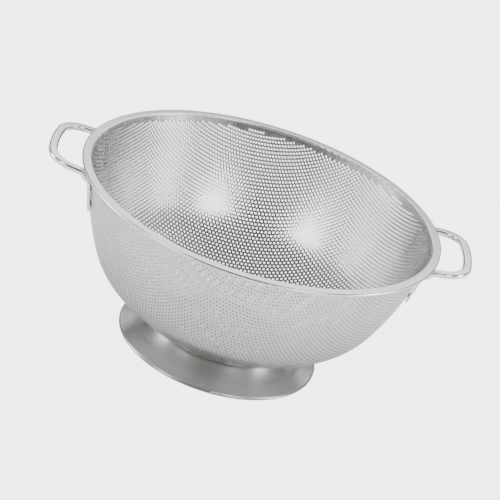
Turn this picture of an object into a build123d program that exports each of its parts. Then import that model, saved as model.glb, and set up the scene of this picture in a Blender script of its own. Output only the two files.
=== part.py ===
from build123d import *
import math
import os

# A stainless steel pedestal colander. Millimetres, +Z up. The origin is on the table, at the centre of the
# foot. The two loop handles lie along X, so the X-Z and Y-Z planes are both planes of symmetry.

# Overall
RIM_OUTER_RADIUS = 145.0
RIM_TOP_Z = 138.0

# Sheet metal and rod
BOWL_SHEET = 0.6
RIM_SHEET = 1.0
FOOT_SHEET = 0.7
HANDLE_WIDTH = 7.0
HANDLE_THICKNESS = 4.4
HANDLE_EDGE_RADIUS = 1.6
LEG_THICKNESS = 2.0
LEG_EDGE_RADIUS = 0.8

# Bowl: a flat base, then four tangent arcs up to a straight conical wall that flares out into a flat border.
# Each arc ends at a wall slope, in degrees above the horizontal. The radii of the lower belly and of the
# shoulder follow from the overall size, so that the base and the straight wall keep theirs.
FOOT_HEIGHT = 12.5
BASE_RADIUS = 45.5
BASE_CORNER_RADIUS = 22.0
BASE_CORNER_SLOPE = 25.8
LOWER_BELLY_SLOPE = 41.3
UPPER_BELLY_RADIUS = 64.0
UPPER_BELLY_SLOPE = 64.7
WALL_SLOPE = 77.5
WALL_LENGTH = 21.5
BORDER_BEND_RADIUS = 0.8

# Rim band: a strip folded over the bowl's border, with a short lip turned down inside the mouth
RIM_BAND_WIDTH = 7.9
RIM_LIP_BEND_RADIUS = 1.4
RIM_LIP_DROP = 0.6
RIM_LIP_CLEARANCE = 0.3
RIM_FOLD_CLEARANCE = 0.3
RIM_LOWER_LEG_CLEARANCE = 0.3

# Handles: a flattened rod bent into a loop that rises slightly outwards, with both ends bent down the wall
# and pressed thinner there. Each half of the loop is two tangent arcs of the rod's centre line, as (radius,
# turn in degrees), from the nose back, and then a straight side.
HANDLE_REACH = 25.8
HANDLE_RISE = 5.7
HANDLE_TO_RIM_GAP = 0.8
NOSE_ARC = (152.0, 8.0)
CORNER_ARC = (20.0, 76.2)
LEG_BEND_RADIUS = 4.5
LEG_PRESS_LENGTH = 4.0
STRIP_LENGTH = 23.0
LEG_STANDOFF = 0.4
LOOP_STANDOFF = 1.9

# Weld beads that fill the gap between a leg and the wall, at these distances down its pressed strip
WELD_RADIUS = 2.1
WELD_DISTANCES = (5.0, 18.0)
WELD_REACH = 5.0

# Foot: a spun ring with a weld flange under the bowl, a concave flare, a crease, a brim and a rolled edge
FOOT_OUTER_RADIUS = 82.5
FOOT_FLANGE_INNER_RADIUS = 36.0
FOOT_BEAD_RADIUS = 1.5
FOOT_CONTACT_WIDTH = 1.0
FOOT_BRIM_LENGTH = 11.8
FOOT_BRIM_SLOPE = 13.0
FOOT_CREASE_RADIUS = 1.0
FOOT_FLARE_START_SLOPE = 5.0
FOOT_FLARE_END_SLOPE = 45.0
FOOT_NECK_RADIUS = 2.5

# What follows from those values
BORDER_UNDER_Z = RIM_TOP_Z - RIM_SHEET - BOWL_SHEET
RIM_HEIGHT = 2 * RIM_SHEET + BOWL_SHEET
RIM_UNDER_Z = RIM_TOP_Z - RIM_HEIGHT
RIM_FOLD_RADIUS = RIM_HEIGHT / 2
BORDER_OUTER_RADIUS = RIM_OUTER_RADIUS - RIM_SHEET - RIM_FOLD_CLEARANCE
MOUTH_RADIUS = RIM_OUTER_RADIUS - RIM_BAND_WIDTH
BORDER_BEND_CENTRE_RADIUS = MOUTH_RADIUS + RIM_SHEET + RIM_LIP_CLEARANCE + BOWL_SHEET + BORDER_BEND_RADIUS
HANDLE_ROOT_Z = RIM_UNDER_Z - HANDLE_TO_RIM_GAP - HANDLE_THICKNESS / 2

# A piece of an outline shorter than this is left out of it
SHORTEST_EDGE = 1e-6


class SheetPath:
    """A chain of tangent lines and arcs across the r-z plane, with a sheet of even thickness on its left."""

    def __init__(self, radius, height, heading, thickness):
        self.radius = radius
        self.height = height
        self.heading = heading
        self.thickness = thickness
        self.near = []
        self.far = []

    def point(self, radius, height, offset):
        angle = math.radians(self.heading)
        return (radius - offset * math.sin(angle), 0, height + offset * math.cos(angle))

    def line(self, length):
        angle = math.radians(self.heading)
        start = (self.radius, self.height)
        self.radius += length * math.cos(angle)
        self.height += length * math.sin(angle)
        end = (self.radius, self.height)
        for edges, offset in ((self.near, 0.0), (self.far, self.thickness)):
            edges.append(Edge.make_line(self.point(*start, offset), self.point(*end, offset)))
        return self

    def arc(self, radius, turn):
        """Turns left by turn degrees, or right where it is negative, on an arc of that radius."""
        side = math.copysign(1.0, turn)
        angle = math.radians(self.heading)
        centre = (
            self.radius - side * radius * math.sin(angle),
            self.height + side * radius * math.cos(angle),
        )
        for edges, own_radius in ((self.near, radius), (self.far, radius - side * self.thickness)):
            stops = []
            for share in (0.0, 0.5, 1.0):
                there = math.radians(self.heading + share * turn)
                across = centre[0] + side * own_radius * math.sin(there)
                up = centre[1] - side * own_radius * math.cos(there)
                stops.append((across, 0, up))
            edges.append(Edge.make_three_point_arc(*stops))
        self.heading += turn
        angle = math.radians(self.heading)
        self.radius = centre[0] + side * radius * math.sin(angle)
        self.height = centre[1] - side * radius * math.cos(angle)
        return self

    def spin(self):
        """The sheet turned once round Z, as one solid."""
        caps = [
            Edge.make_line(self.near[0] @ 0, self.far[0] @ 0),
            Edge.make_line(self.near[-1] @ 1, self.far[-1] @ 1),
        ]
        edges = [edge for edge in self.near + self.far + caps if edge.length > SHORTEST_EDGE]
        return revolve(Face(Wire(edges)), Axis.Z)


def arc_run(radius, start_slope, end_slope):
    """How far out and up an arc goes between two slopes."""
    start = math.radians(start_slope)
    end = math.radians(end_slope)
    return radius * (math.sin(end) - math.sin(start)), radius * (math.cos(start) - math.cos(end))


def bowl_arcs():
    """The bowl's four arcs, as (outer radius, start slope, end slope), from the base to the straight wall."""
    corner = arc_run(BASE_CORNER_RADIUS, 0, BASE_CORNER_SLOPE)
    lower = arc_run(1.0, BASE_CORNER_SLOPE, LOWER_BELLY_SLOPE)
    upper = arc_run(UPPER_BELLY_RADIUS, LOWER_BELLY_SLOPE, UPPER_BELLY_SLOPE)
    shoulder = arc_run(1.0, UPPER_BELLY_SLOPE, WALL_SLOPE)
    slope = math.radians(WALL_SLOPE)
    bend = arc_run(BORDER_BEND_RADIUS, 0, WALL_SLOPE)
    wall_top_radius = BORDER_BEND_CENTRE_RADIUS - bend[0]
    wall_top_z = BORDER_UNDER_Z - bend[1]
    out = wall_top_radius - WALL_LENGTH * math.cos(slope) - BASE_RADIUS - corner[0] - upper[0]
    up = wall_top_z - WALL_LENGTH * math.sin(slope) - FOOT_HEIGHT - corner[1] - upper[1]
    # The two open radii close the outline outwards and upwards: two equations, solved together.
    scale = lower[0] * shoulder[1] - lower[1] * shoulder[0]
    lower_radius = (out * shoulder[1] - up * shoulder[0]) / scale
    shoulder_radius = (up * lower[0] - out * lower[1]) / scale
    return (
        (BASE_CORNER_RADIUS, 0, BASE_CORNER_SLOPE),
        (lower_radius, BASE_CORNER_SLOPE, LOWER_BELLY_SLOPE),
        (UPPER_BELLY_RADIUS, LOWER_BELLY_SLOPE, UPPER_BELLY_SLOPE),
        (shoulder_radius, UPPER_BELLY_SLOPE, WALL_SLOPE),
    )


def bowl_path():
    path = SheetPath(0, FOOT_HEIGHT, 0, BOWL_SHEET).line(BASE_RADIUS)
    for radius, start_slope, end_slope in bowl_arcs():
        path.arc(radius, end_slope - start_slope)
    return path.line(WALL_LENGTH)


def bowl():
    path = bowl_path()
    path.arc(BORDER_BEND_RADIUS, -WALL_SLOPE)
    path.line(BORDER_OUTER_RADIUS - path.radius)
    return path.spin()


def bowl_outer_solid():
    """The bowl filled in, up to the border, which cuts what is fitted against its outside."""
    path = bowl_path()
    top = path.near[-1] @ 1
    floor = Edge.make_line((0, 0, top.Z), (0, 0, FOOT_HEIGHT))
    lid = Edge.make_line(top, (0, 0, top.Z))
    return revolve(Face(Wire(path.near + [lid, floor])), Axis.Z)


def rim_band():
    lower_leg_start = BORDER_BEND_CENTRE_RADIUS + RIM_LOWER_LEG_CLEARANCE
    fold_centre = RIM_OUTER_RADIUS - RIM_FOLD_RADIUS
    path = SheetPath(lower_leg_start, RIM_UNDER_Z, 0, RIM_SHEET)
    path.line(fold_centre - lower_leg_start)
    path.arc(RIM_FOLD_RADIUS, 180)
    path.line(RIM_BAND_WIDTH - RIM_FOLD_RADIUS - RIM_LIP_BEND_RADIUS)
    path.arc(RIM_LIP_BEND_RADIUS, 90)
    path.line(RIM_LIP_DROP)
    return path.spin()


def foot_ring():
    path = SheetPath(
        FOOT_OUTER_RADIUS - FOOT_CONTACT_WIDTH - 2 * FOOT_BEAD_RADIUS,
        FOOT_BEAD_RADIUS,
        -90,
        FOOT_SHEET,
    )
    path.arc(FOOT_BEAD_RADIUS, 90)
    path.line(FOOT_CONTACT_WIDTH)
    path.arc(FOOT_BEAD_RADIUS, 180 - FOOT_BRIM_SLOPE)
    path.line(FOOT_BRIM_LENGTH)
    path.arc(FOOT_CREASE_RADIUS, FOOT_BRIM_SLOPE - FOOT_FLARE_START_SLOPE)
    neck_rise = arc_run(FOOT_NECK_RADIUS, 0, FOOT_FLARE_END_SLOPE)[1]
    flare_rise = arc_run(1.0, FOOT_FLARE_START_SLOPE, FOOT_FLARE_END_SLOPE)[1]
    flare_radius = (FOOT_HEIGHT - neck_rise - path.height) / flare_rise
    path.arc(flare_radius, FOOT_FLARE_START_SLOPE - FOOT_FLARE_END_SLOPE)
    path.arc(FOOT_NECK_RADIUS, FOOT_FLARE_END_SLOPE)
    path.line(path.radius - FOOT_FLANGE_INNER_RADIUS)
    return path.spin()


def wall_radius(height):
    """The distance from the axis to the outside of the bowl's straight wall, at a height."""
    path = bowl_path()
    return path.radius - (path.height - height) / math.tan(math.radians(WALL_SLOPE))


def half_loop():
    """Half of the +X handle's centre line, from its nose to the leg's top, and the plane across it there."""
    rise = math.radians(HANDLE_RISE)
    plane = Plane(
        origin=(RIM_OUTER_RADIUS, 0, HANDLE_ROOT_Z),
        x_dir=(math.cos(rise), 0, math.sin(rise)),
        z_dir=(-math.sin(rise), 0, math.cos(rise)),
    )
    here = Vector(HANDLE_REACH / math.cos(rise) - HANDLE_WIDTH / 2, 0, 0)
    turned = 0.0
    edges = []
    for radius, turn in (NOSE_ARC, CORNER_ARC):
        centre = here - Vector(math.cos(turned), math.sin(turned), 0) * radius
        stops = []
        for share in (0.0, 0.5, 1.0):
            angle = turned + share * math.radians(turn)
            local = centre + Vector(math.cos(angle), math.sin(angle), 0) * radius
            stops.append(plane.from_local_coords(local))
        edges.append(Edge.make_three_point_arc(*stops))
        turned += math.radians(turn)
        here = centre + Vector(math.cos(turned), math.sin(turned), 0) * radius
    outward = plane.from_local_coords(Vector(math.sin(turned), -math.cos(turned), 0)) - plane.origin
    shoulder = plane.from_local_coords(here)
    # The side runs inwards from the shoulder to this distance from the axis, and bends down the wall there.
    stop_radius = wall_radius(HANDLE_ROOT_Z) + LOOP_STANDOFF + HANDLE_THICKNESS / 2
    level = Vector(outward.X, outward.Y, 0)
    reach = Vector(shoulder.X, shoulder.Y, 0)
    along = reach.dot(level) / level.dot(level)
    spare = (reach.dot(reach) - stop_radius**2) / level.dot(level)
    corner = shoulder - outward * (along - math.sqrt(along * along - spare))
    slope = math.radians(WALL_SLOPE)
    azimuth = math.atan2(outward.Y, outward.X)
    level_down = math.cos(slope)
    down = Vector(-level_down * math.cos(azimuth), -level_down * math.sin(azimuth), -math.sin(slope))
    tangent = LEG_BEND_RADIUS * math.tan(math.radians((WALL_SLOPE - HANDLE_RISE) / 2))
    bend_end = corner + outward * tangent
    leg_top = corner + down * tangent
    edges.append(Edge.make_line(shoulder, bend_end))
    edges.append(Edge.make_tangent_arc(bend_end, outward * -1, leg_top))
    across = Vector(-math.sin(azimuth), math.cos(azimuth), 0)
    return edges, Plane(origin=leg_top, x_dir=across, z_dir=down)


def strip_plane(leg_top):
    """The plane across the top of a leg's pressed strip, which lies along the wall. Its Y axis faces out."""
    slope = math.radians(WALL_SLOPE)
    azimuth = math.atan2(leg_top.Y, leg_top.X)
    height = leg_top.Z - LEG_PRESS_LENGTH
    radius = wall_radius(height) + (LEG_STANDOFF + LEG_THICKNESS / 2) / math.sin(slope)
    level_down = math.cos(slope)
    return Plane(
        origin=(radius * math.cos(azimuth), radius * math.sin(azimuth), height),
        x_dir=(-math.sin(azimuth), math.cos(azimuth), 0),
        z_dir=(-level_down * math.cos(azimuth), -level_down * math.sin(azimuth), -math.sin(slope)),
    )


def handle():
    """The +X handle: a flattened rod in a loop, whose legs thin into strips that lie along the wall."""
    edges, plane = half_loop()
    whole = Wire(edges + [edge.mirror(Plane.XZ) for edge in edges])
    section = plane * RectangleRounded(HANDLE_WIDTH, HANDLE_THICKNESS, HANDLE_EDGE_RADIUS)
    loop = sweep(section, path=whole)
    pressed = strip_plane(plane.origin) * RectangleRounded(HANDLE_WIDTH, LEG_THICKNESS, LEG_EDGE_RADIUS)
    leg = loft([section, pressed]) + extrude(pressed, STRIP_LENGTH)
    return loop + leg + mirror(leg, about=Plane.XZ)


def handle_welds():
    """Two beads on each of the +X handle's legs, from the strip's inner face to the bowl's wall."""
    _, plane = half_loop()
    strip = strip_plane(plane.origin)
    wall = bowl_outer_solid()
    inward = strip.y_dir * -1
    beads = []
    for distance in WELD_DISTANCES:
        centre = strip.origin + strip.z_dir * distance + inward * (LEG_THICKNESS / 2)
        bead = Solid.make_cylinder(WELD_RADIUS, WELD_REACH, Plane(origin=centre, z_dir=inward))
        beads += (bead - wall).solids()
    return beads + [bead.mirror(Plane.XZ) for bead in beads]


def export(shape, node):
    export_step(shape, f"parts/{node}.step")


os.makedirs("parts", exist_ok=True)
export(bowl(), "bowl")
export(rim_band(), "rim_band")
export(foot_ring(), "foot_ring")
right_handle = handle()
right_welds = handle_welds()
left_welds = [bead.mirror(Plane.YZ) for bead in right_welds]
export(right_handle, "handle_right")
export(mirror(right_handle, about=Plane.YZ), "handle_left")
export(Compound(children=right_welds + left_welds), "handle_welds")
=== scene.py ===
import math

import bpy
import numpy as np
from mathutils import Matrix, Vector


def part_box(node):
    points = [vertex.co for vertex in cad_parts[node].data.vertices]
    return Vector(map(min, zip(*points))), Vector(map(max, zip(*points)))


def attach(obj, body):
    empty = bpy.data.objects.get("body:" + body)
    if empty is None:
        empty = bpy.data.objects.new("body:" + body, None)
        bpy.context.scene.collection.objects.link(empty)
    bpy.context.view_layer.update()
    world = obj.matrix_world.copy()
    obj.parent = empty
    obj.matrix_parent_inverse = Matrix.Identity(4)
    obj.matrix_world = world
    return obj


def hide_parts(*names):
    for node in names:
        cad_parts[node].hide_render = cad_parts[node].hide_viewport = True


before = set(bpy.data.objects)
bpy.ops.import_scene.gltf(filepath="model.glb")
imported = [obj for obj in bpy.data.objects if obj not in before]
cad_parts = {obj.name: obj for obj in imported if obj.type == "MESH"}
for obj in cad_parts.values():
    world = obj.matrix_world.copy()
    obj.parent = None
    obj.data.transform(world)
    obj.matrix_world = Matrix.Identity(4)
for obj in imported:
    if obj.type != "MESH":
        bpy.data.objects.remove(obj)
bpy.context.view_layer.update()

# Metres, in the CAD frame. Handles along X, the foot's centre on the floor at the origin.

# The bowl's wall, as in the CAD model
BASE_RADIUS = 0.0455
BASE_CORNER_RADIUS = 0.022
BASE_CORNER_SLOPE = 25.8
LOWER_BELLY_SLOPE = 41.3
UPPER_BELLY_RADIUS = 0.064
UPPER_BELLY_SLOPE = 64.7
WALL_SLOPE = 77.5
WALL_LENGTH = 0.0215
BOWL_SHEET = 0.0006
BORDER_BEND = 0.0008
RIM_SHEET = 0.0010
RIM_BAND_WIDTH = 0.0079
RIM_CLEARANCE = 0.0003

# The perforation, laid out flat. A point's distance from the middle of the layout is its distance from the
# axis along the bowl's meridian.
HOLE_PITCH = 0.00366
HOLE_RADIUS = 0.00086
ROW_ANGLE = math.radians(5.5)
PLAIN_BORDER = 0.0045
LIP_LEAN = 0.22  # how far the normals at a hole's lip lean into the hole

# How the bowl's mesh is made
SECTORS = 6
SECTOR_ANGLE = 2 * math.pi / SECTORS
HOLE_POINTS = 12
BASE_STATIONS = 120
ARC_STATIONS = 160
WALL_STATIONS = 80
BEND_STATIONS = 12
SAME_CORNER = 0.01  # cell corners this share of a pitch apart are one corner
SNAP_REACH = 0.3  # cell corners this share of a pitch from the border move onto it

# The bowl's texture layout: the outer skin in the left half, the inner skin in the right half
UV_NAME = "OFBake"
UV_HALF = 0.5
UV_MARGIN = 0.01
UV_ROOM = 1.03
HOLE_FRONT_SHARE = 0.96
HOLE_BACK_SHARE = 0.5

# Blender gives a mix node's colour sockets the same names as its number sockets.
MIX_COLOUR_A = 6
MIX_COLOUR_B = 7
MIX_COLOUR_OUT = 2

# The studio
FLOOR_SIZE = 8.0
FLOOR_TONE = 0.8
BACKDROP_WHITE = 4.6
WORLD_HORIZON = 0.08
WORLD_ZENITH = 0.28
WORLD_WALLS = 0.45
WALLS_FROM = 0.5
WALLS_FULL = 0.95
STUDIO_AIM = (0, 0, 0.07)
TABLE_LIGHT_POWER = 80.0
TABLE_LIGHT_HEIGHT = 2.2
TABLE_LIGHT_SIZE = 2.0
# Name, azimuth and elevation in degrees, distance, width, height, radiance
SOFTBOXES = (
    ("key_right", -55, 30, 1.3, 0.38, 0.38, 13.0),
    ("key_left", -140, 30, 1.3, 0.38, 0.38, 13.0),
    ("side_right", -12, 12, 1.5, 0.5, 0.6, 12.0),
    ("side_left", 177, 12, 1.5, 0.5, 0.6, 12.0),
    ("back", 80, 48, 1.8, 2.4, 1.5, 2.3),
)

# The camera
CAMERA_TURN = math.radians(-4.2)
CAMERA_RAISE = math.radians(25.98)
CAMERA_ROLL = math.radians(17.9)
CAMERA_DISTANCE = 1.3431
CAMERA_TARGET = (0.00257, 0.0, 0.08854)
CAMERA_LENS = 122.16
CAMERA_SENSOR = 36.0
CAMERA_CLIP = (0.05, 20.0)


# ---------------------------------------------------------------- camera

def make_camera():
    data = bpy.data.cameras.new("camera")
    data.lens = CAMERA_LENS
    data.sensor_width = CAMERA_SENSOR
    data.clip_start, data.clip_end = CAMERA_CLIP
    camera = bpy.data.objects.new("camera", data)
    bpy.context.scene.collection.objects.link(camera)
    turned = Matrix.Rotation(CAMERA_TURN, 3, "Z")
    back = turned @ Vector((0, -math.cos(CAMERA_RAISE), math.sin(CAMERA_RAISE)))
    across = turned @ Vector((1, 0, 0))
    up = back.cross(across)
    right = across * math.cos(CAMERA_ROLL) + up * math.sin(CAMERA_ROLL)
    above = back.cross(right)
    place = turned @ Vector(CAMERA_TARGET) + back * CAMERA_DISTANCE
    facing = Matrix((right, above, back)).transposed()
    camera.matrix_world = Matrix.Translation(place) @ facing.to_4x4()
    bpy.context.scene.camera = camera


# ---------------------------------------------------------------- the bowl's meridian

def arc_run(radius, start_slope, end_slope):
    """How far out and up an arc goes between two slopes."""
    start, end = math.radians(start_slope), math.radians(end_slope)
    return radius * (math.sin(end) - math.sin(start)), radius * (math.cos(start) - math.cos(end))


def bowl_meridian():
    """Stations up the outer wall from the axis to the border's edge: radius, height and slope at each."""
    rim_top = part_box("rim_band")[1].z
    rim_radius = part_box("rim_band")[1].x
    base_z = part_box("bowl")[0].z
    border_under = rim_top - RIM_SHEET - BOWL_SHEET
    bend_centre = rim_radius - RIM_BAND_WIDTH + RIM_SHEET + BOWL_SHEET + BORDER_BEND + RIM_CLEARANCE
    angle = math.radians(WALL_SLOPE)
    corner = arc_run(BASE_CORNER_RADIUS, 0, BASE_CORNER_SLOPE)
    lower = arc_run(1.0, BASE_CORNER_SLOPE, LOWER_BELLY_SLOPE)
    upper = arc_run(UPPER_BELLY_RADIUS, LOWER_BELLY_SLOPE, UPPER_BELLY_SLOPE)
    shoulder = arc_run(1.0, UPPER_BELLY_SLOPE, WALL_SLOPE)
    bend = arc_run(BORDER_BEND, 0, WALL_SLOPE)
    out = bend_centre - bend[0] - WALL_LENGTH * math.cos(angle) - BASE_RADIUS - corner[0] - upper[0]
    up = border_under - bend[1] - WALL_LENGTH * math.sin(angle) - base_z - corner[1] - upper[1]
    scale = lower[0] * shoulder[1] - lower[1] * shoulder[0]
    arcs = (
        (BASE_CORNER_RADIUS, 0, BASE_CORNER_SLOPE),
        ((out * shoulder[1] - up * shoulder[0]) / scale, BASE_CORNER_SLOPE, LOWER_BELLY_SLOPE),
        (UPPER_BELLY_RADIUS, LOWER_BELLY_SLOPE, UPPER_BELLY_SLOPE),
        ((up * lower[0] - out * lower[1]) / scale, UPPER_BELLY_SLOPE, WALL_SLOPE),
    )
    rows = [(BASE_RADIUS * share, base_z, 0.0) for share in np.linspace(0, 1, BASE_STATIONS)]
    for radius, start, end in arcs:
        r, z = rows[-1][:2]
        for slope in np.linspace(start, end, ARC_STATIONS)[1:]:
            run = arc_run(radius, start, slope)
            rows.append((r + run[0], z + run[1], math.radians(slope)))
    r, z = rows[-1][:2]
    for share in np.linspace(0, 1, WALL_STATIONS)[1:]:
        length = WALL_LENGTH * share
        rows.append((r + length * math.cos(angle), z + length * math.sin(angle), angle))
    wall_top = len(rows) - 1
    for slope in np.linspace(WALL_SLOPE, 0, BEND_STATIONS)[1:]:
        run = arc_run(BORDER_BEND, 0, slope)
        rows.append((bend_centre - run[0], border_under - run[1], math.radians(slope)))
    rows.append((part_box("bowl")[1].x, border_under, 0.0))
    return np.array(rows), wall_top


class Meridian:
    """Carries a flat layout onto the bowl. Lengths up the wall stay, and lengths round it shrink."""

    def __init__(self):
        rows, wall_top = bowl_meridian()
        self.radius, self.height, self.slope = rows.T
        step = np.hypot(np.diff(self.radius), np.diff(self.height))
        self.along = np.concatenate([[0], np.cumsum(step)])
        self.wall_end = self.along[wall_top]
        self.end = self.along[-1]

    def place(self, xy, inward):
        """Points on the sheet, inward metres in from its outer skin, and the outward normals there."""
        x, y = xy.T
        along = np.hypot(x, y)
        safe = np.maximum(along, 1e-9)
        r = np.interp(along, self.along, self.radius)
        z = np.interp(along, self.along, self.height)
        a = np.interp(along, self.along, self.slope)
        ux, uy = x / safe, y / safe
        normal = np.stack([ux * np.sin(a), uy * np.sin(a), -np.cos(a)], 1)
        point = np.stack([ux * r, uy * r, z], 1) - normal * inward
        return point, normal


# ---------------------------------------------------------------- meshes

class FaceBlocks:
    """Blocks of faces, each with one number of corners, and the normal and texture place of each corner."""

    def __init__(self):
        self.corners = []
        self.normals = []
        self.uv = []

    def add(self, corners, normals, uv):
        self.corners.append(corners)
        self.normals.append(normals.reshape(-1, 3))
        self.uv.append(uv.reshape(-1, 2))


def mesh_object(name, points, blocks, material):
    corners = np.concatenate([block.ravel() for block in blocks.corners]).astype(np.int32)
    sizes = np.concatenate([np.full(len(block), block.shape[1]) for block in blocks.corners]).astype(np.int32)
    mesh = bpy.data.meshes.new(name)
    mesh.vertices.add(len(points))
    mesh.vertices.foreach_set("co", points.astype(np.float32).ravel())
    mesh.loops.add(len(corners))
    mesh.loops.foreach_set("vertex_index", corners)
    mesh.polygons.add(len(sizes))
    mesh.polygons.foreach_set("loop_start", np.concatenate([[0], np.cumsum(sizes)[:-1]]).astype(np.int32))
    mesh.polygons.foreach_set("loop_total", sizes)
    mesh.polygons.foreach_set("use_smooth", np.ones(len(sizes), bool))
    mesh.update(calc_edges=True)
    layer = mesh.uv_layers.new(name=UV_NAME)
    layer.data.foreach_set("uv", np.concatenate(blocks.uv).astype(np.float32).ravel())
    mesh.normals_split_custom_set(np.concatenate(blocks.normals).astype(np.float32))
    mesh.materials.append(material)
    piece = bpy.data.objects.new(name, mesh)
    bpy.context.scene.collection.objects.link(piece)
    return piece


def directions(angles):
    return np.stack([np.cos(angles), np.sin(angles)], -1)


def sector_at(angles):
    return np.floor(angles / SECTOR_ANGLE).astype(int) % SECTORS


class BowlMesh:
    """The drawn and perforated bowl. It is laid out flat as a honeycomb, one hole to a cell."""

    def __init__(self, meridian):
        self.meridian = meridian
        border = meridian.wall_end
        self.centres = self.lattice(border + HOLE_PITCH)
        ring = HOLE_PITCH / math.sqrt(3) * directions(np.radians(np.arange(6) * 60 + 30) + ROW_ANGLE)
        corners = (self.centres[:, None, :] + ring).reshape(-1, 2)
        keys = np.round(corners / (HOLE_PITCH * SAME_CORNER)).astype(np.int64)
        _, first, index = np.unique(keys, axis=0, return_index=True, return_inverse=True)
        self.corner_xy = corners[first]
        self.cells = index.reshape(-1, 6)
        reach = np.hypot(*self.corner_xy.T)
        self.on_border = reach > border - HOLE_PITCH * SNAP_REACH
        self.corner_xy[self.on_border] *= (border / reach[self.on_border])[:, None]
        in_field = np.hypot(*self.centres.T) < border - PLAIN_BORDER
        self.punched = in_field & ~self.on_border[self.cells].any(1)
        self.plain = ~self.punched & ~self.on_border[self.cells].all(1)

    @staticmethod
    def lattice(reach):
        """Cell centres in staggered rows, out to reach from the centre."""
        row_gap = HOLE_PITCH * math.sqrt(0.75)
        rows = int(reach / row_gap) + 2
        columns = int(reach / HOLE_PITCH) + 2
        row, column = np.meshgrid(np.arange(-rows, rows + 1), np.arange(-columns, columns + 1))
        x = (column + 0.5 * (row % 2)).ravel() * HOLE_PITCH
        y = row.ravel() * row_gap
        keep = np.hypot(x, y) < reach
        x, y = x[keep], y[keep]
        c, s = math.cos(ROW_ANGLE), math.sin(ROW_ANGLE)
        return np.stack([x * c - y * s, x * s + y * c], 1)

    def uv_of(self, xy, sector, skin):
        """The flat layout, turned so that the sector points up. Skin 0 is the outer one, 1 the inner."""
        turn = math.pi / 2 - (sector + 0.5) * SECTOR_ANGLE
        x = xy[..., 0] * math.cos(turn) - xy[..., 1] * math.sin(turn)
        y = xy[..., 0] * math.sin(turn) + xy[..., 1] * math.cos(turn)
        scale = UV_HALF / (self.meridian.end * UV_ROOM)
        return np.stack([UV_HALF * (skin + 0.5) + x * scale, UV_MARGIN + y * scale], -1)

    def sector(self, number, material):
        """One sixth of the bowl, as its own piece, because one mesh of it all is too big to export."""
        mine = sector_at(np.arctan2(self.centres[:, 1], self.centres[:, 0])) == number
        centres = self.centres[mine & self.punched]
        cells = np.concatenate([self.cells[mine & self.punched], self.cells[mine & self.plain]])
        used, local = np.unique(cells, return_inverse=True)
        punched, plain = np.split(local.reshape(-1, 6), [len(centres)])
        circle = HOLE_RADIUS * directions(np.radians(np.arange(HOLE_POINTS) * 30) + ROW_ANGLE)
        hole_xy = (centres[:, None, :] + circle).reshape(-1, 2)
        # Each skin has the cells' corners first and then the holes' points.
        flat = np.concatenate([self.corner_xy[used], hole_xy])
        skin_size, hole_start = len(flat), len(used)
        outer, outer_normal = self.meridian.place(flat, 0.0)
        inner, _ = self.meridian.place(flat, BOWL_SHEET)
        middle, _ = self.meridian.place(centres, BOWL_SHEET / 2)
        into_hole = np.repeat(middle, HOLE_POINTS, 0) - (outer[hole_start:] + inner[hole_start:]) / 2
        into_hole /= np.linalg.norm(into_hole, axis=1)[:, None]
        # A punched edge is rounded, so the skins' normals lean a little into each hole at its lip.
        lean = np.zeros_like(outer_normal)
        lean[hole_start:] = into_hole * LIP_LEAN
        blocks = FaceBlocks()

        def add_skins(corners):
            turned = corners[:, ::-1]
            blocks.add(turned, (outer_normal + lean)[turned], self.uv_of(flat[turned], number, 0))
            uv = self.uv_of(flat[corners], number, 1)
            blocks.add(corners + skin_size, (lean - outer_normal)[corners], uv)

        rims = hole_start + np.arange(len(hole_xy)).reshape(-1, HOLE_POINTS)
        # Corner k stands at bearing 30 + 60k degrees, and hole point j at 30j degrees.
        for k in range(6):
            lip = rims[:, np.arange(2 * k + 3, 2 * k, -1) % HOLE_POINTS]
            add_skins(np.concatenate([punched[:, [k, (k + 1) % 6]], lip], 1))
        add_skins(plain)
        self.add_hole_walls(blocks, number, rims, flat, into_hole, centres)
        points = [outer, inner]
        self.add_border(blocks, number, points)
        return mesh_object(f"bowl_sixth_{number + 1}", np.concatenate(points), blocks, material)

    def add_hole_walls(self, blocks, number, rims, flat, into_hole, centres):
        skin_size = len(flat)
        following = np.roll(rims, -1, axis=1)
        walls = np.stack([rims + skin_size, following + skin_size, following, rims], -1)
        on_skin = walls % skin_size
        # In the texture layout a hole's wall is a ring inside the hole.
        depth = np.where(walls >= skin_size, HOLE_BACK_SHARE, HOLE_FRONT_SHARE)[..., None]
        centre = centres[:, None, None, :]
        uv = self.uv_of(centre + (flat[on_skin] - centre) * depth, number, 0)
        blocks.add(walls.reshape(-1, 4), into_hole[on_skin - rims[0, 0]], uv)

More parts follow.
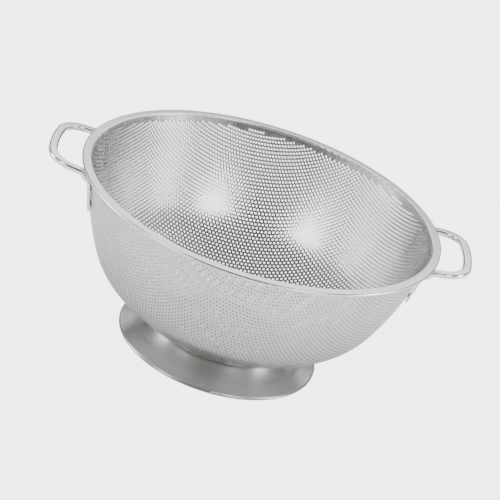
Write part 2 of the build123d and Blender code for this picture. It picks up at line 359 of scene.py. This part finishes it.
    def add_border(self, blocks, number, points):
        """The plain border, which bends outwards inside the rim band, and its cut edge."""
        on_ring = np.intersect1d(np.nonzero(self.on_border)[0], self.cells[self.plain])
        angles = np.sort(np.arctan2(self.corner_xy[on_ring, 1], self.corner_xy[on_ring, 0]))
        following = np.append(angles[1:], angles[0] + 2 * math.pi)
        here = sector_at((angles + following) / 2) == number
        rays = directions(np.stack([angles[here], following[here]], 1))
        stations = self.meridian.along[self.meridian.along >= self.meridian.wall_end - 1e-9]
        grid = rays[:, :, None, :] * stations[:, None]
        flat = grid.reshape(-1, 2)
        index = np.arange(len(flat)).reshape(grid.shape[:3])
        quads = np.stack([index[:, 0, :-1], index[:, 0, 1:], index[:, 1, 1:], index[:, 1, :-1]], -1)
        quads = quads.reshape(-1, 4)
        ends = []
        for skin, facing in ((0, 1), (1, -1)):
            start = sum(len(block) for block in points)
            place, normal = self.meridian.place(flat, BOWL_SHEET * skin)
            corners = quads[:, ::facing]
            blocks.add(start + corners, facing * normal[corners], self.uv_of(flat[corners], number, skin))
            points.append(place)
            ends.append(start + index[:, :, -1])
        outer, inner = ends
        edge = np.stack([outer[:, 1], inner[:, 1], inner[:, 0], outer[:, 0]], 1)
        middle = directions((angles[here] + following[here]) / 2)
        outward = np.append(middle, np.zeros((len(middle), 1)), 1)
        uv = self.uv_of(rays[:, [1, 1, 0, 0]] * self.meridian.end, number, 0)
        blocks.add(edge, np.repeat(outward, 4, 0), uv)


# ---------------------------------------------------------------- materials

class Nodes:
    """A node tree to add to."""

    def __init__(self, tree):
        self.tree = tree

    def node(self, kind, sockets=None, **settings):
        made = self.tree.nodes.new(kind)
        for name, value in settings.items():
            setattr(made, name, value)
        for name, value in (sockets or {}).items():
            made.inputs[name].default_value = value
        return made

    def link(self, source, target):
        self.tree.links.new(source, target)

    def only_to_camera(self, plain, seen, out):
        """What the camera sees directly is the white of a light table. All else sees the plain studio."""
        mix = self.node("ShaderNodeMixShader")
        self.link(self.node("ShaderNodeLightPath").outputs["Is Camera Ray"], mix.inputs[0])
        self.link(plain, mix.inputs[1])
        self.link(seen, mix.inputs[2])
        self.link(mix.outputs[0], out)


class Surface(Nodes):
    """A procedural material. Its colour and roughness vary a little, and its grain is a fine bump."""

    def __init__(self, name, colour, roughness, metallic=1.0, anisotropy=0.0):
        self.material = bpy.data.materials.new(name)
        self.material.use_nodes = True
        super().__init__(self.material.node_tree)
        self.shader = self.tree.nodes["Principled BSDF"]
        self.colour = colour
        self.roughness = roughness
        self.shader.inputs["Metallic"].default_value = metallic
        self.shader.inputs["Anisotropic"].default_value = anisotropy
        self.where = self.node("ShaderNodeTexCoord").outputs["Object"]

    def noise(self, scale, detail=4.0):
        noise = self.node("ShaderNodeTexNoise", {"Scale": scale, "Detail": detail})
        self.link(self.where, noise.inputs["Vector"])
        return noise.outputs["Fac"]

    def round_grain(self, scale, detail):
        """Fine turned grain: rings round the Z axis, from the radius and height of the point."""
        split = self.node("ShaderNodeSeparateXYZ")
        self.link(self.where, split.inputs[0])
        flat = self.node("ShaderNodeCombineXYZ")
        self.link(split.outputs["X"], flat.inputs["X"])
        self.link(split.outputs["Y"], flat.inputs["Y"])
        length = self.node("ShaderNodeVectorMath", operation="LENGTH")
        self.link(flat.outputs[0], length.inputs[0])
        polar = self.node("ShaderNodeCombineXYZ")
        self.link(length.outputs["Value"], polar.inputs["X"])
        self.link(split.outputs["Z"], polar.inputs["Y"])
        noise = self.node("ShaderNodeTexNoise", {"Scale": scale, "Detail": detail})
        self.link(polar.outputs[0], noise.inputs["Vector"])
        return noise.outputs["Fac"]

    def spread(self, pattern, low, high):
        """A pattern that is mostly between 0.3 and 0.7, spread to run from low to high."""
        sockets = {"From Min": 0.3, "From Max": 0.7, "To Min": low, "To Max": high}
        made = self.node("ShaderNodeMapRange", sockets)
        self.link(pattern, made.inputs["Value"])
        return made.outputs["Result"]

    def vary_colour(self, pattern, share):
        mix = self.node("ShaderNodeMix", data_type="RGBA")
        mix.inputs[MIX_COLOUR_A].default_value = (*(part * (1 - share) for part in self.colour), 1)
        mix.inputs[MIX_COLOUR_B].default_value = (*self.colour, 1)
        self.link(self.spread(pattern, 0.0, 1.0), mix.inputs["Factor"])
        self.link(mix.outputs[MIX_COLOUR_OUT], self.shader.inputs["Base Color"])

    def vary_roughness(self, pattern, share):
        result = self.spread(pattern, self.roughness * (1 - share), self.roughness * (1 + share))
        self.link(result, self.shader.inputs["Roughness"])

    def bump(self, pattern, height, strength):
        made = self.node("ShaderNodeBump", {"Distance": height, "Strength": strength})
        self.link(pattern, made.inputs["Height"])
        self.link(made.outputs["Normal"], self.shader.inputs["Normal"])


def perforated_steel():
    steel = Surface("perforated_steel", (0.60, 0.60, 0.59), roughness=0.22)
    steel.vary_colour(steel.noise(60.0), share=0.07)
    steel.vary_roughness(steel.noise(220.0), share=0.25)
    steel.bump(steel.noise(2500.0, detail=2.0), height=0.00002, strength=0.25)
    return steel.material


def rim_steel():
    steel = Surface("rim_steel", (0.82, 0.82, 0.81), roughness=0.24)
    steel.vary_colour(steel.round_grain(700.0, detail=6.0), share=0.08)
    steel.vary_roughness(steel.round_grain(420.0, detail=4.0), share=0.3)
    steel.bump(steel.round_grain(700.0, detail=3.0), height=0.00002, strength=0.15)
    return steel.material


def rod_steel():
    steel = Surface("rod_steel", (0.80, 0.80, 0.79), roughness=0.16)
    steel.vary_colour(steel.noise(90.0), share=0.06)
    steel.vary_roughness(steel.noise(400.0), share=0.35)
    steel.bump(steel.noise(1500.0, detail=3.0), height=0.00002, strength=0.1)
    return steel.material


def polished_steel():
    """Its grain runs round the Z axis, so highlights spread across it."""
    steel = Surface("polished_steel", (0.46, 0.46, 0.45), roughness=0.33, anisotropy=0.75)
    steel.shader.inputs["Anisotropic Rotation"].default_value = 0.25
    tangent = steel.node("ShaderNodeTangent", direction_type="RADIAL", axis="Z")
    steel.link(tangent.outputs[0], steel.shader.inputs["Tangent"])
    steel.vary_colour(steel.round_grain(500.0, detail=3.0), share=0.05)
    steel.vary_roughness(steel.round_grain(900.0, detail=4.0), share=0.2)
    return steel.material


def weld_steel():
    steel = Surface("weld_steel", (0.34, 0.32, 0.30), roughness=0.45)
    steel.vary_colour(steel.noise(900.0), share=0.35)
    steel.vary_roughness(steel.noise(700.0), share=0.3)
    steel.bump(steel.noise(1800.0), height=0.0001, strength=0.5)
    return steel.material


def dress(node, material):
    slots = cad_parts[node].data.materials
    slots.clear()
    slots.append(material)


# ---------------------------------------------------------------- studio

def make_floor():
    surface = Surface("floor", (FLOOR_TONE,) * 3, roughness=0.7, metallic=0.0)
    surface.vary_colour(surface.noise(2.0), share=0.02)
    glow = surface.node("ShaderNodeEmission", {"Color": (1, 1, 1, 1), "Strength": BACKDROP_WHITE})
    out = surface.tree.nodes["Material Output"].inputs["Surface"]
    surface.only_to_camera(surface.shader.outputs[0], glow.outputs[0], out)
    half = FLOOR_SIZE / 2
    mesh = bpy.data.meshes.new("floor")
    corners = [(-half, -half, 0), (half, -half, 0), (half, half, 0), (-half, half, 0)]
    mesh.from_pydata(corners, [], [(0, 1, 2, 3)])
    mesh.materials.append(surface.material)
    floor = bpy.data.objects.new("floor", mesh)
    bpy.context.scene.collection.objects.link(floor)


def make_world():
    """Dim overhead and in front, with a broad pale wall on each side."""
    world = bpy.data.worlds.new("studio")
    bpy.context.scene.world = world
    world.use_nodes = True
    nodes = Nodes(world.node_tree)
    split = nodes.node("ShaderNodeSeparateXYZ")
    nodes.link(nodes.node("ShaderNodeTexCoord").outputs["Generated"], split.inputs[0])
    height = nodes.node("ShaderNodeMapRange", {"To Min": WORLD_HORIZON, "To Max": WORLD_ZENITH})
    nodes.link(split.outputs["Z"], height.inputs["Value"])
    aside = nodes.node("ShaderNodeMath", operation="ABSOLUTE")
    nodes.link(split.outputs["X"], aside.inputs[0])
    sockets = {"From Min": WALLS_FROM, "From Max": WALLS_FULL, "To Max": WORLD_WALLS}
    walls = nodes.node("ShaderNodeMapRange", sockets, interpolation_type="SMOOTHSTEP")
    nodes.link(aside.outputs[0], walls.inputs["Value"])
    total = nodes.node("ShaderNodeMath", operation="ADD")
    nodes.link(height.outputs["Result"], total.inputs[0])
    nodes.link(walls.outputs["Result"], total.inputs[1])
    plain = nodes.tree.nodes["Background"]
    plain.inputs["Color"].default_value = (1, 1, 1, 1)
    nodes.link(total.outputs[0], plain.inputs["Strength"])
    seen = nodes.node("ShaderNodeBackground", {"Color": (1, 1, 1, 1), "Strength": BACKDROP_WHITE})
    out = nodes.tree.nodes["World Output"].inputs["Surface"]
    nodes.only_to_camera(plain.outputs[0], seen.outputs[0], out)


def area_light(name, place, width, height, power):
    data = bpy.data.lights.new(name, "AREA")
    data.shape = "RECTANGLE"
    data.size = width
    data.size_y = height
    data.energy = power
    light = bpy.data.objects.new(name, data)
    light.location = place
    light.rotation_mode = "QUATERNION"
    light.rotation_quaternion = (Vector(place) - Vector(STUDIO_AIM)).to_track_quat("Z", "Y")
    bpy.context.scene.collection.objects.link(light)
    return light


def around(azimuth, elevation, distance):
    a, e = math.radians(azimuth), math.radians(elevation)
    return (
        distance * math.cos(e) * math.cos(a),
        distance * math.cos(e) * math.sin(a),
        STUDIO_AIM[2] + distance * math.sin(e),
    )


def make_lights():
    for name, azimuth, elevation, distance, width, height, radiance in SOFTBOXES:
        power = radiance * math.pi * width * height
        area_light(name, around(azimuth, elevation, distance), width, height, power)
    # The table's own light doesn't show in the metal.
    place = (0, 0, TABLE_LIGHT_HEIGHT)
    table = area_light("table_light", place, TABLE_LIGHT_SIZE, TABLE_LIGHT_SIZE, TABLE_LIGHT_POWER)
    table.visible_glossy = False


make_camera()
bowl = BowlMesh(Meridian())
perforated = perforated_steel()
for number in range(SECTORS):
    piece = bowl.sector(number, perforated)
    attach(piece, "root")
    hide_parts("bowl")
dress("rim_band", rim_steel())
dress("foot_ring", polished_steel())
rod = rod_steel()
dress("handle_left", rod)
dress("handle_right", rod)
dress("handle_welds", weld_steel())
make_floor()
make_world()
make_lights()
